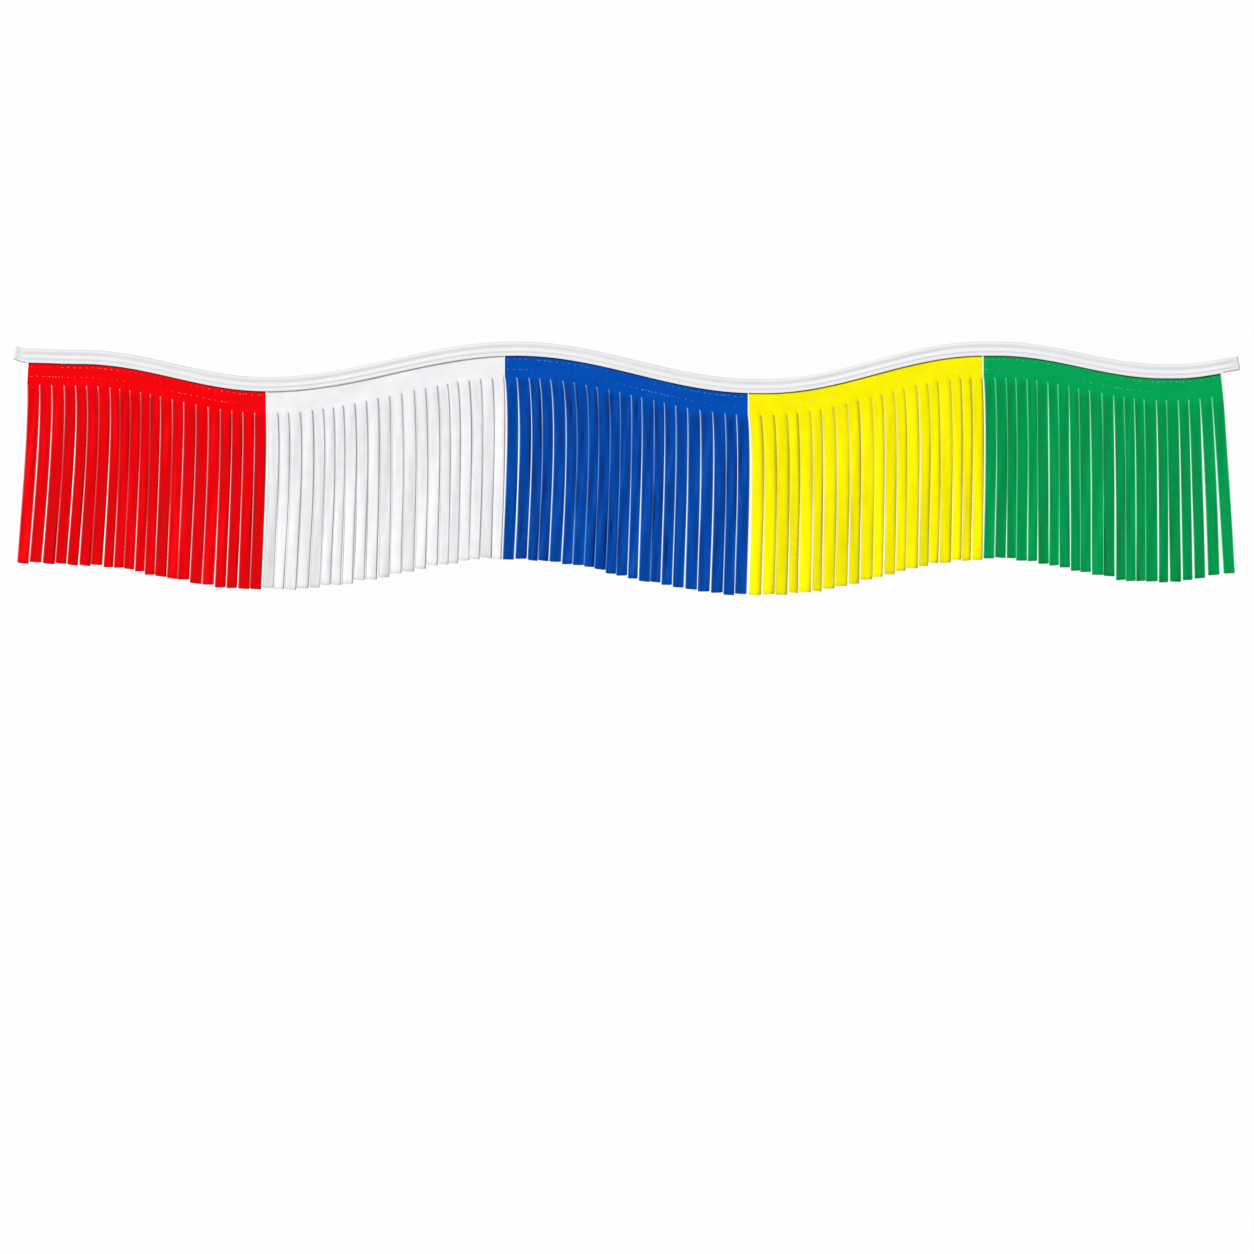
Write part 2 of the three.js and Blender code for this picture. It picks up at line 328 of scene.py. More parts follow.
def eased(table, x):
    """A table's second column read at x: a half cosine from each row to the next."""
    row = np.clip(np.searchsorted(table[:, 0], x) - 1, 0, len(table) - 2)
    share = (x - table[row, 0]) / (table[row + 1, 0] - table[row, 0])
    return table[row, 1] + (table[row + 1, 1] - table[row, 1]) * (1 - np.cos(np.pi * share)) / 2


def placed(x, y, drop):
    """Points in metres from places along the string, places in depth and drops below the tape's top edge."""
    x, y, drop = np.broadcast_arrays(x, y, drop)
    return np.stack([x, y, eased(WAVE, x) - drop], axis=-1) * MM


def across(panel, row, x):
    """A value given at even steps from a panel's left edge to its right edge, read at x."""
    return np.interp(x, np.linspace(panel["left"], panel["right"], len(row)), row)


def pulled(panel, x):
    """How far a panel's slit line is drawn sideways at x, towards its free corners."""
    at_left, at_right = panel["pull"]
    from_left = at_left * np.exp((panel["left"] - x) / FLARE_REACH)
    return from_left + at_right * np.exp((x - panel["right"]) / FLARE_REACH)


def slit_places(panel):
    """Root places of a panel's slits, from its left edge to its right, a little uneven."""
    widths = 1 + WIDTH_SHARE * uneven(np.arange(panel["strips"]), panel["seed"])
    span = panel["right"] - panel["left"]
    return panel["left"] + span * np.concatenate([[0], np.cumsum(widths) / widths.sum()])


def end_heavy(count, pull):
    """Shares from 0 to 1, closer together at both ends: t less pull times sin(2 pi t) over 2 pi."""
    t = np.linspace(0, 1, count + 1)
    return t - pull * np.sin(2 * np.pi * t) / (2 * np.pi)


def curl_depth(panel, strip, drop, curl):
    """How far a strip's middle stands in front of its edges: it grows from the puckers to CURL_REACH."""
    own = panel["curl"] * (1 + OWN_CURL * varied(panel, strip, "curl"))
    start = PUCKER_CURL * smooth(drop, SLIT_TOP - PUCKER_REACH, SLIT_TOP)
    rest = (1 - PUCKER_CURL) * smooth(drop, SLIT_TOP, SLIT_TOP + CURL_REACH)
    return curl * own * (start + rest)


def crease_depth(panel, strip, s, below, crease):
    """Depth of one of CREASES: a bell across the strip and a sine wave down it, in its own place on each."""
    wave_salt, place_salt = (panel["seed"] + salt for salt in crease["salts"])
    middle = crease["middle"] + crease["spread"] * uneven(strip, place_salt)
    bell = np.exp(-((s - middle) / crease["width"]) ** 2)
    wave = np.sin(2 * np.pi * (below / crease["pitch"] + 0.5 * uneven(strip, wave_salt)))
    return crease["share"] * panel["crease"] * smooth(below, 0, CREASE_REACH) * wave * bell


def section(panel, strip, s, drop, curl):
    """How far back a strip stands at s across it, from -1 at its left edge to 1 at its right.

    The curl is depth times |s|^EDGE_POWER less 1. The roll grows by the square towards the right edge, and
    the lift towards the left one.
    """
    below = drop - SLIT_TOP
    curled = curl_depth(panel, strip, drop, curl) * (np.abs(s) ** EDGE_POWER - 1)
    depth, start = panel["roll"]
    depth = depth * (1 + OWN_ROLL * varied(panel, strip, "roll"))
    grown = PUCKER_ROLL * smooth(below, -PUCKER_REACH, 0) + (1 - PUCKER_ROLL) * smooth(below, 0, ROLL_REACH)
    roll = depth * grown * past(s, start)
    at_root, at_tip = panel["lift"]
    height = at_root + (at_tip - at_root) * smooth(below, *LIFT_FADES)
    height = height * (1 + OWN_LIFT * varied(panel, strip, "lift"))
    lift = height * smooth(below, 0, LIFT_REACH) * past(-s, LIFT_START)
    creases = sum(crease_depth(panel, strip, s, below, crease) for crease in CREASES)
    return curled + roll - lift - creases


def band_depth(x, drop):
    """Depth of a panel's plain band: a long ripple that dies out at the tape and at the slits."""
    swell = np.sin(np.pi * np.clip((drop - BAND_FREE) / (SLIT_TOP - BAND_FREE), 0, 1))
    return BAND_RIPPLE * swell * np.sin(2 * np.pi * x / BAND_RIPPLE_PITCH)


def band_surface(panel, places, s, curl):
    """The plain band as x, depth, drop: rows by columns, each strip's columns ending at its slits' roots.

    Its depth is the ripple and the strips' section, which starts in the puckers above the slits.
    """
    strip = np.repeat(np.arange(panel["strips"]), len(s) - 1)
    local = np.tile(s[:-1], panel["strips"])
    strip = np.append(strip, panel["strips"] - 1)[None, :]
    local = np.append(local, 1.0)[None, :]
    x = places[strip] + (places[strip + 1] - places[strip]) * (local + 1) / 2
    inside = np.linspace(FILM_TOP, BAND_FREE, INSIDE_ROWS + 1)[:-1]
    drop = np.concatenate([inside, np.linspace(BAND_FREE, SLIT_TOP, BAND_ROWS)])[:, None]
    depth = band_depth(x, drop) + section(panel, strip, local, drop, curl)
    share = np.maximum(0, (drop - BAND_FREE) / (SLIT_TOP - BAND_FREE))
    return x + share * pulled(panel, x), depth, drop + 0 * x


def strip_surface(panel, places, q, s, curl):
    """A panel's strips as x, depth, drop: strips by rows by columns.

    Down its length q a strip leans by q, bellies sideways by sin(pi q^BELLY_POWER) and a little more or less
    by sin(pi q), sways in depth by q and turns about the vertical. Across its width s it has its section,
    moved back so that its middle depth is the solid's, and measured from the line through its two edges
    where it turns. Its rows follow the band's slope at the root and lie square across it at the tip, which
    curls back by the square of its share of TIP_CURL_REACH and has worn corners.
    """
    strip = np.arange(panel["strips"])[:, None, None]
    q = q[None, :, None]
    s = s[None, None, :]
    root = (places[strip] + places[strip + 1]) / 2
    length = across(panel, panel["reach"], root) + LENGTH_SPREAD * varied(panel, strip, "length")
    below = length * q
    drop = SLIT_TOP + below
    from_tip = length - below
    at_root, at_tip = panel["gape"]
    inset = np.clip(below / SLIT_OPENS, 0, 1) * (at_root + (at_tip - at_root) * q) / 2
    slits = places + pulled(panel, places)
    left = slits[strip] + np.where(strip == 0, 0, inset)
    right = slits[strip + 1] - np.where(strip == panel["strips"] - 1, 0, inset)
    half = (right - left) / 2
    drift = DRIFT * varied(panel, strip, "drift")
    drift = np.where(np.isin(strip + 1, panel["clings"]), CLING, drift)
    drift = np.where(np.isin(strip, panel["clings"]), -CLING, drift)
    flare = panel["flare"] * np.exp((root - panel["right"]) / FLARE_REACH)
    lean = across(panel, panel["lean"], root) + flare + drift
    bow = across(panel, panel["bow"], root)
    stray = panel["stray"] * varied(panel, strip, "belly")
    belly = bow * np.sin(np.pi * q ** BELLY_POWER) + stray * np.sin(np.pi * q)
    centre = (left + right) / 2 + lean * q + belly
    sway = SWAY * np.sin(2 * np.pi * root / SWAY_PITCH) + OWN_SWAY * varied(panel, strip, "sway") * q
    turn = TWIST * varied(panel, strip, "turn") * np.sin(np.pi * q / 2)
    turn = turn + TWIST / 2 * varied(panel, strip, "twist") * np.sin(2 * np.pi * q)
    settle = EDGE_POWER / (EDGE_POWER + 1) * smooth(below, 0, CURL_REACH)
    settle = settle * curl_depth(panel, strip, drop, curl)
    curl_back = TIP_CURL * np.clip(1 - from_tip / TIP_CURL_REACH, 0, 1) ** 2
    own = settle + section(panel, strip, s, drop, curl) + curl_back
    between = own[..., :1] + (own[..., -1:] - own[..., :1]) * (s + 1) / 2
    x = centre + s * half * np.cos(turn) - (own - between) * np.sin(turn)
    y = sway * q + s * half * np.sin(turn) + own * np.cos(turn)
    worn = TIP_CORNER * np.abs(s) ** TIP_CORNER_POWER * (1 - smooth(from_tip, 0, 2 * TIP_CURL_REACH))
    tilt = (lean - np.pi * BELLY_POWER * bow) / length
    skew = TIP_SKEW * varied(panel, strip, "skew") - half * tilt
    return x, y, drop + q * (s * skew + eased(WAVE, x) - eased(WAVE, centre)) - worn


def panel_surface(panel, curl):
    """A film panel as points in metres, faces, flat places in metres and nearness to a cut edge."""
    s = STRIP_COLUMNS
    q = end_heavy(STRIP_ROWS, ROW_PULL)
    strips = panel["strips"]
    places = slit_places(panel)
    band = band_surface(panel, places, s, curl)
    hung = [value[:, 1:] for value in strip_surface(panel, places, q, s, curl)]
    band_index = np.arange(band[0].size).reshape(band[0].shape)
    hung_shape = (strips, len(q) - 1, len(s))
    hung_index = band_index.size + np.arange(np.prod(hung_shape)).reshape(hung_shape)
    roots = (np.arange(strips) * (len(s) - 1))[:, None] + np.arange(len(s))
    hung_index = np.concatenate([band_index[-1][roots][:, None, :], hung_index], axis=1)
    faces = np.concatenate([grid_faces(band_index), grid_faces(hung_index)])
    points = np.concatenate([placed(*surface).reshape(-1, 3) for surface in (band, hung)])
    slits = places[np.arange(strips)[:, None] + np.array([0, 1])]
    cut_x = slits[:, :1] + (slits[:, 1:] - slits[:, :1]) * (s + 1) / 2
    cut_x = np.broadcast_to(cut_x[:, None, :], hung_shape)
    sheet = ((band[0], band[2]), (cut_x, hung[2]))
    flat = [np.stack([x, -drop], axis=-1).reshape(-1, 2) for x, drop in sheet]
    # Nearness to a cut edge places the painted edge colour: on the band's outer columns and each strip's
    # edges.
    sides = np.zeros(band_index.shape)
    sides[:, [0, -1]] = 1
    near = np.broadcast_to(smooth(np.abs(s), PAINTED_EDGE_START, 1), hung_shape)
    return points, faces, np.concatenate(flat) * MM, np.concatenate([sides.ravel(), near.ravel()])


def grid_faces(index):
    """Quads between neighbouring rows and columns of a grid of vertex numbers, or of a stack of grids."""
    corners = [index[..., :-1, :-1], index[..., 1:, :-1], index[..., 1:, 1:], index[..., :-1, 1:]]
    return np.stack(corners, axis=-1).reshape(-1, 4)


def make_piece(name, points, faces, material, flat, edge=None):
    """A smooth mesh object from points in metres, with flat as its UV map in metres.

    edge is how near each point is to a cut edge, from 0 to 1, kept as an attribute of that name.
    """
    mesh = bpy.data.meshes.new(name)
    mesh.from_pydata(points.reshape(-1, 3).tolist(), [], faces.tolist(), shade_flat=False)
    corner = np.empty(len(mesh.loops), dtype=np.int32)
    mesh.loops.foreach_get("vertex_index", corner)
    uv = mesh.uv_layers.new(name="flat")
    uv.data.foreach_set("uv", flat.reshape(-1, 2)[corner].astype(np.float32).ravel())
    if edge is not None:
        mesh.attributes.new("edge", "FLOAT", "POINT").data.foreach_set("value", edge.astype(np.float32))
    mesh.materials.append(material)
    piece = bpy.data.objects.new(name, mesh)
    bpy.context.scene.collection.objects.link(piece)
    return piece


def give_thickness(piece, thickness, offset, sharp=math.radians(50)):
    """Turns a surface into a closed sheet of that thickness, with crisp cut edges."""
    solidify = piece.modifiers.new("Thickness", "SOLIDIFY")
    solidify.thickness = thickness
    solidify.offset = offset
    with bpy.context.temp_override(object=piece, active_object=piece):
        bpy.ops.object.modifier_apply(modifier=solidify.name)
    piece.data.set_sharp_from_angle(angle=sharp)


def tape_half(x, drop):
    """Outer half-thickness of the tape: an elliptic roll at the fold, then the eased rows of TAPE_FACE."""
    rise = np.clip(1 - drop / TAPE_ROLL_DROP, 0, 1)
    roll = TAPE_ROLL_HALF * np.sqrt(1 - rise ** 2)
    face = eased(TAPE_FACE, np.maximum(drop, TAPE_ROLL_DROP))
    wander = sum(wave["depth"] * np.sin(x / wave["reach"] + wave["phase"]) for wave in TAPE_WANDER)
    return np.where(drop < TAPE_ROLL_DROP, roll, face + wander * smooth(drop, TAPE_ROLL_DROP, WANDER_FULL))


def splay_at(x):
    """How far the tape's ends splay for each millimetre of drop: none at the panels, all at the fold."""
    splay = 0
    for end in TAPE_ENDS:
        side = end["side"]
        splay = splay + side * end["splay"] * smooth(side * x, side * end["edge"], side * end["fold"])
    return splay


def hem_path(end):
    """One tape end outwards from the panel: x, depth and turn along the pressed, folded and hidden parts."""
    side, edge = end["side"], end["edge"]
    radius = HEM_HALF + HEM_GAP / 2
    centre = end["fold"] - side * (radius + HEM_HALF)
    out = np.linspace(edge + side * PRESS_START, centre, TAB_POINTS)
    turn = side * np.linspace(0, np.pi, TURN_POINTS + 2)[1:-1]
    back = np.linspace(centre, edge + side * HEM_SETBACK, HEM_POINTS)
    x = np.concatenate([out, centre + radius * np.sin(turn), back])
    y = np.concatenate([0 * out, radius * (1 - np.cos(turn)), 2 * radius + 0 * back])
    y = y + end["bend"] * smooth(side * x, side * end["fold"] - end["bend_reach"], side * end["fold"])
    turns = np.concatenate([0 * out, turn, side * np.pi + 0 * back])
    return x, y, turns


def tape_surface():
    """The folded tape's outer face as x, depth and drop, with its flat place along and across the tape.

    A profile runs from the front lip over the fold to the back lip, and is carried along the string and
    round both hems, where it is pressed flat. A point at half-thickness h off the path's middle lies at
    x - h sin(turn), y + h cos(turn).
    """
    left, right = (end["edge"] + end["side"] * PRESS_START for end in TAPE_ENDS)
    run = np.linspace(left, right, int((right - left) / TAPE_STEP))[1:-1]
    first, last = (hem_path(end) for end in TAPE_ENDS)
    x, y, turn = (
        np.concatenate([before[::-1], between, after])[:, None]
        for before, between, after in zip(first, (run, 0 * run, 0 * run), last)
    )
    rolled = TAPE_ROLL_DROP * (1 - np.cos(np.linspace(0, np.pi / 2, ROLL_ROWS)))
    leaf = np.concatenate([rolled, np.linspace(TAPE_ROLL_DROP, TAPE_WIDTH, LEAF_ROWS)[1:]])
    drop = np.concatenate([leaf[::-1], leaf[1:]])[None, :]
    side = np.concatenate([-np.ones(len(leaf)), np.ones(len(leaf) - 1)])[None, :]
    along = np.concatenate([[0], np.cumsum(np.hypot(np.diff(x[:, 0]), np.diff(y[:, 0])))])[:, None]
    outside = PRESS_START + np.maximum(along[len(first[0]) - 1] - along, along - along[-len(last[0])])
    pressed = smooth(outside, PRESS_START, np.where(side < 0, FRONT_PRESS_END, PRESS_END))
    full = tape_half(x, drop)
    tab = np.minimum(full, HEM_HALF) - TAB_EDGE_TURN * smooth(drop, TAB_EDGE_DROP, TAPE_WIDTH)
    half = side * (full + (tab - full) * pressed)
    flat_x = x - half * np.sin(turn)
    # At the tabs the front leaf ends a little above the back one.
    short = TAB_LIP_SHORT * (side < 0) * smooth(outside, PRESS_START, PRESS_END)
    short = short * smooth(drop, WAIST_DROP, TAPE_WIDTH)
    points = placed(flat_x + drop * splay_at(flat_x), y + half * np.cos(turn), drop - short)
    flat = np.stack([along + 0 * drop, drop * side + 0 * along], axis=-1) * MM
    return points, flat


def thread_beads(centre, tangent, outward, size, length, width, proud):
    """Closed spindles, one for each stitch, and the quads and triangles of their faces.

    A ring at angle a lies at half the length times cos(a) along the stitch, with a radius of
    sin(a)^STITCH_BLUNT. A pole closes each end.
    """
    count = len(centre)
    size = size[:, None, None, None]
    a = np.linspace(0, np.pi, STITCH_RINGS + 2)[1:-1][None, :, None, None]
    b = (np.arange(STITCH_SIDES) * 2 * np.pi / STITCH_SIDES)[None, None, :, None]
    side = np.cross(tangent, outward)
    along, out, wide = (axis[:, None, None, :] for axis in (tangent, outward, side))
    middle = centre[:, None, None, :]
    girth = size * np.sin(a) ** STITCH_BLUNT
    ring = middle + size * along * np.cos(a) * length / 2
    ring = ring + girth * (wide * np.cos(b) * width / 2 + out * np.sin(b) * proud)
    reach = size[:, :, 0] * tangent[:, None] * length / 2
    poles = np.concatenate([centre[:, None] + reach, centre[:, None] - reach], axis=1)
    rows, around = ring.shape[1:3]
    points = np.concatenate([ring.reshape(count, rows * around, 3), poles], axis=1)
    start = np.arange(count)[:, None] * points.shape[1]
    index = np.arange(rows * around).reshape(rows, around)
    index = np.concatenate([index, index[:, :1]], axis=1)
    quads = (start[:, :, None] + grid_faces(index)[None]).reshape(-1, 4)
    first, last = index[0], index[-1]
    pole = np.full(around, rows * around)
    caps = np.concatenate([
        np.stack([pole, first[:-1], first[1:]], axis=-1),
        np.stack([pole + 1, last[1:], last[:-1]], axis=-1),
    ])
    triangles = (start[:, :, None] + caps[None]).reshape(-1, 3)
    return points.reshape(-1, 3), quads, triangles


def band_row(panel, row, row_drop, pitch):
    """Places, drops and sizes of one row of stitches on a panel's band.

    The thread sinks into the film in some places and stands up in others, so its stitches vary in size.
    """
    along, across_row = BAND_STITCH_STRAYS
    along_salt, across_salt, size_salt = (panel["seed"] + row + salt for salt in BAND_STITCH_SALTS)
    x = np.arange(panel["left"] + pitch / 2, panel["right"] - BAND_STITCH_END, pitch)
    number = np.arange(len(x))
    x = x + along * uneven(number, along_salt)
    drop = row_drop + across_row * uneven(number, across_salt)
    swing = BAND_STITCH_SIZE["swing"] * np.sin(x / BAND_STITCH_SIZE["swing_reach"] + 2 * row)
    size = BAND_STITCH_SIZE["middle"] + swing + BAND_STITCH_SIZE["spread"] * uneven(number, size_salt)
    return x, drop, np.maximum(size, BAND_STITCH_SIZE["least"])


def make_thread(name, stitches, shape, material):
    """One joined piece of stitches, each given as x, depth, drop, the side its face looks to and its size."""
    x, y, drop, side, size = stitches
    centre = placed(x, y, drop)
    ahead = placed(x + 1, y, drop) - centre
    tangent = ahead / np.linalg.norm(ahead, axis=1, keepdims=True)
    outward = np.stack([0 * side, side, 0 * side], axis=-1).astype(float)
    points, quads, triangles = thread_beads(centre, tangent, outward, size, **shape)
    mesh = bpy.data.meshes.new(name)
    mesh.from_pydata(points.tolist(), [], [*quads.tolist(), *triangles.tolist()], shade_flat=False)
    mesh.materials.append(material)
    piece = bpy.data.objects.new(name, mesh)
    bpy.context.scene.collection.objects.link(piece)
    return piece


def add_node(tree, kind, links=(), **settings):
    """Adds a node, sets its sockets and attributes by name, and links (socket, source) pairs to it."""
    node = tree.nodes.new(kind)
    for key, value in settings.items():
        name = key.replace("_", " ")
        if name in node.inputs:
            node.inputs[name].default_value = value
        else:
            setattr(node, key, value)
    for socket, source in links:
        tree.links.new(source, node.inputs[socket])
    return node


def blank_material(name):
    """A new node material with its shader, and the tree they are in."""
    material = bpy.data.materials.new(name)
    material.use_nodes = True
    tree = material.node_tree
    return material, tree, tree.nodes["Principled BSDF"]


def ranged(tree, source, span, values):
    """A map range node: the first of values at the start of span and before it, the second at its end."""
    return add_node(tree, "ShaderNodeMapRange", [("Value", source)],
                    From_Min=span[0], From_Max=span[1], To_Min=values[0], To_Max=values[1])


def times(tree, first, second):
    """A node that multiplies two values."""
    return add_node(tree, "ShaderNodeMath", [(0, first), (1, second)], operation="MULTIPLY")


def shaded(tree, colour, amount):
    """A node that multiplies a colour by a value."""
    shade = add_node(tree, "ShaderNodeVectorMath", [(1, amount)], operation="MULTIPLY")
    shade.inputs[0].default_value = colour[:3]
    return shade


def add_bump(tree, shader, height, strength, distance):
    """Links a bump of that height to a shader's normal."""
    bump = add_node(tree, "ShaderNodeBump", [("Height", height)], Strength=strength, Distance=distance)
    tree.links.new(bump.outputs["Normal"], shader.inputs["Normal"])


def add_wave(tree, place, scale, direction):
    """A texture of sine bands in one direction."""
    return add_node(tree, "ShaderNodeTexWave", [("Vector", place)],
                    Scale=scale, wave_type="BANDS", bands_direction=direction)


def painted_edge_colour(panel, colour):
    """Colour painted on a cut edge, a pale glow on coloured film and grey shade on white film, for each of
    red, green and blue by its share of the brightest of them.

    It is PAINTED_EDGE_TINT times the share to the power PAINTED_EDGE_POWER, plus PAINTED_EDGE_WHITE, all by
    the panel's cut.
    """
    brightest = max(NEAR_BLACK, *colour[:3])
    shares = [value / brightest for value in colour[:3]]
    return [panel["cut"] * (PAINTED_EDGE_TINT * share ** PAINTED_EDGE_POWER + PAINTED_EDGE_WHITE) for share in shares] + [1]


def film_material(name, colour, gloss, panel):
    """Soft calendered polyethylene film, 0.1 mm: satin, with long faint draw lines and a mottled thickness.

    The band is doubled film, with a painted shadow where it leaves the tape. Below the slits' tops the film
    is single and darker: partly its single film, partly painted shade. Its cut edges get a pale glow painted
    for light that comes through them, and on white film painted grey shade.
    """
    material, tree, shader = blank_material(name)
    shader.inputs["Roughness"].default_value = gloss
    shader.inputs["IOR"].default_value = FILM_IOR
    shine = [SHINE_WHITE + (1 - SHINE_WHITE) * value for value in colour[:3]]
    shader.inputs["Specular Tint"].default_value = shine + [1]
    flat = add_node(tree, "ShaderNodeUVMap", uv_map="flat").outputs["UV"]
    long_way = add_node(tree, "ShaderNodeMapping", [("Vector", flat)], Scale=DRAW_LINES).outputs["Vector"]
    draw = add_node(tree, "ShaderNodeTexNoise", [("Vector", long_way)], Scale=1.0, Detail=3.0)
    mottle = add_node(tree, "ShaderNodeTexNoise", [("Vector", flat)], Scale=MOTTLES, Detail=2.0)
    tone = ranged(tree, mottle.outputs["Fac"], MOTTLE_SPAN, MOTTLE_TONES)
    place = add_node(tree, "ShaderNodeSeparateXYZ", [("Vector", flat)]).outputs["Y"]
    # Below the slits' tops the colour is darkened by the panel's tone: partly single film, partly painted
    # shade.
    start, end = SINGLE_LAYER_FADE
    single_film_shade = ranged(tree, place, (-end * MM, -start * MM), (panel["tone"], 1.0))
    both = times(tree, tone.outputs["Result"], single_film_shade.outputs["Result"])
    # Painted shadow: the band's colour darkens just under the tape's lower edge.
    start, end = TAPE_SHADOW_FADE
    crease = ranged(tree, place, (-end * MM, -start * MM), (1.0, panel["painted_tape_shadow"]))
    pressed = times(tree, both.outputs["Value"], crease.outputs["Result"])
    shade = shaded(tree, colour, pressed.outputs["Value"])
    # Cut edges: a pale glow painted for light through the film, and painted grey shade on white film.
    cut = add_node(tree, "ShaderNodeAttribute", attribute_name="edge")
    pale = add_node(tree, "ShaderNodeMix",
                    [("Factor", cut.outputs["Fac"]), ("A", shade.outputs["Vector"])], data_type="RGBA")
    pale.inputs["B"].default_value = painted_edge_colour(panel, colour)
    tree.links.new(pale.outputs["Result"], shader.inputs["Base Color"])
    add_bump(tree, shader, draw.outputs["Fac"], strength=0.25, distance=0.4 * MM)
    return material


def tape_material(name, colour):
    """Bleached woven polyester tape: matt, fine cross threads, a slight sheen, painted grey shade at its
    fold.
    """
    material, tree, shader = blank_material(name)
    shader.inputs["Roughness"].default_value = 0.8
    shader.inputs["Sheen Weight"].default_value = 0.15
    flat = add_node(tree, "ShaderNodeUVMap", uv_map="flat").outputs["UV"]
    place = add_node(tree, "ShaderNodeSeparateXYZ", [("Vector", flat)]).outputs["Y"]
    # Painted shade: the tape's colour turns greyer near its fold.
    from_fold = add_node(tree, "ShaderNodeMath", [(0, place)], operation="ABSOLUTE")
    fold = ranged(tree, from_fold.outputs["Value"], [reach * MM for reach in FOLD_SHADE_FADE], (FOLD_SHADE, 1.0))
    shade = shaded(tree, colour, fold.outputs["Result"])
    tree.links.new(shade.outputs["Vector"], shader.inputs["Base Color"])
    warp, weft = (add_wave(tree, flat, WEAVE_SCALE, direction).outputs["Fac"] for direction in "XY")
    weave = add_node(tree, "ShaderNodeMath", [(0, warp), (1, weft)], operation="MAXIMUM")
    add_bump(tree, shader, weave.outputs["Value"], strength=0.3, distance=0.2 * MM)
    return material


def thread_material(name, colour):
    """Spun polyester sewing thread: matt and a little fuzzy, with its ply as a slanted bump."""
    material, tree, shader = blank_material(name)
    shader.inputs["Base Color"].default_value = colour
    shader.inputs["Roughness"].default_value = 0.7
    place = add_node(tree, "ShaderNodeTexCoord").outputs["Object"]
    ply = add_wave(tree, place, PLY_SCALE, "DIAGONAL")
    add_bump(tree, shader, ply.outputs["Fac"], strength=0.4, distance=0.1 * MM)
    return material


def floor_material(name, colour):
    """Matt pale studio vinyl."""
    material, _, shader = blank_material(name)
    shader.inputs["Base Color"].default_value = colour
    shader.inputs["Roughness"].default_value = 0.9
    return material


def colour_property(name, hex_colour, description):
    """A colour that a user can change, with an sRGB hex default."""
    return bpy.props.FloatVectorProperty(
        name=name, description=description, subtype="COLOR", size=4, min=0, max=1, default=linear(hex_colour),
    )


class PennantFilm(bpy.types.PropertyGroup):
    """The slit film panels."""

    thickness: bpy.props.FloatProperty(
        name="Thickness", description="Thickness of the film", default=0.12 * MM, unit="LENGTH", precision=5,
    )
    curl: bpy.props.FloatProperty(
        name="Curl", description="How far a strip's middle stands in front of its edges",
        default=1.3 * MM, unit="LENGTH", precision=4,
    )
    gloss: bpy.props.FloatProperty(
        name="Roughness", description="Roughness of the film's satin face", default=0.28, min=0, max=1,
    )
    red: colour_property("Red", FILM_HEX["red"], "Film of the first panel")
    white: colour_property("White", FILM_HEX["white"], "Film of the second panel")
    blue: colour_property("Blue", FILM_HEX["blue"], "Film of the third panel")
    yellow: colour_property("Yellow", FILM_HEX["yellow"], "Film of the fourth panel")
    green: colour_property("Green", FILM_HEX["green"], "Film of the fifth panel")


class PennantTape(bpy.types.PropertyGroup):
    """The folded header tape."""

    thickness: bpy.props.FloatProperty(
        name="Thickness", description="Thickness of one leaf of the tape", default=0.7 * MM, unit="LENGTH",
    )
    colour: colour_property("Colour", "#e6e6e8", "Woven tape")


class PennantThread(bpy.types.PropertyGroup):
    """The sewn rows."""

    pitch: bpy.props.FloatProperty(
        name="Tape stitch", description="Distance between stitches on the tape",
        default=3.8 * MM, unit="LENGTH",
    )
    band_pitch: bpy.props.FloatProperty(
        name="Band stitch", description="Distance between stitches on the film",
        default=7.8 * MM, unit="LENGTH",
    )
    colour: colour_property("Colour", "#ececee", "Sewing thread")


class PennantStage(bpy.types.PropertyGroup):
    """Light, floor and background."""

    key: bpy.props.FloatProperty(
        name="Key light", description="Strength of the light from the left", default=3.2,
    )
    fill: bpy.props.FloatProperty(
        name="Fill light", description="Strength of the light from the right", default=0.3,
    )
    ambient: bpy.props.FloatProperty(
        name="Ambient", description="Strength of the light all round", default=0.22,
    )
    background: colour_property("Background", "#fefefe", "What shows behind the object")


class PENNANT_OT_film_panels(bpy.types.Operator):
    """Makes the five slit film panels, each one sheet with a plain band and a row of curled strips"""

    bl_idname = "pennant.film_panels"
    bl_label = "Film panels"

    def execute(self, context):
        film = context.scene.pennant_film
        for panel in PANELS:
            colour = panel["colour"]
            points, faces, flat, edge = panel_surface(panel, film.curl / MM)
            material = film_material(
                f"{colour}_polyethylene_film", getattr(film, colour), film.gloss, panel,
            )
            piece = make_piece(f"{colour}_film_fringe", points, faces, material, flat, edge)
            give_thickness(piece, film.thickness, 0)
            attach(piece, BODY)
            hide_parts(f"{colour}_panel")
        return {"FINISHED"}


class PENNANT_OT_header_tape(bpy.types.Operator):
    """Makes the header tape, one sheet folded over the film with both ends turned back behind"""

    bl_idname = "pennant.header_tape"
    bl_label = "Header tape"

    def execute(self, context):
        tape = context.scene.pennant_tape
        points, flat = tape_surface()
        index = np.arange(points[..., 0].size).reshape(points.shape[:2])
        faces = grid_faces(index)
        material = tape_material("bleached_woven_tape", tape.colour)
        piece = make_piece("header_tape_sheet", points, faces, material, flat)
        give_thickness(piece, tape.thickness, -1)
        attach(piece, BODY)
        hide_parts("tape")
        return {"FINISHED"}


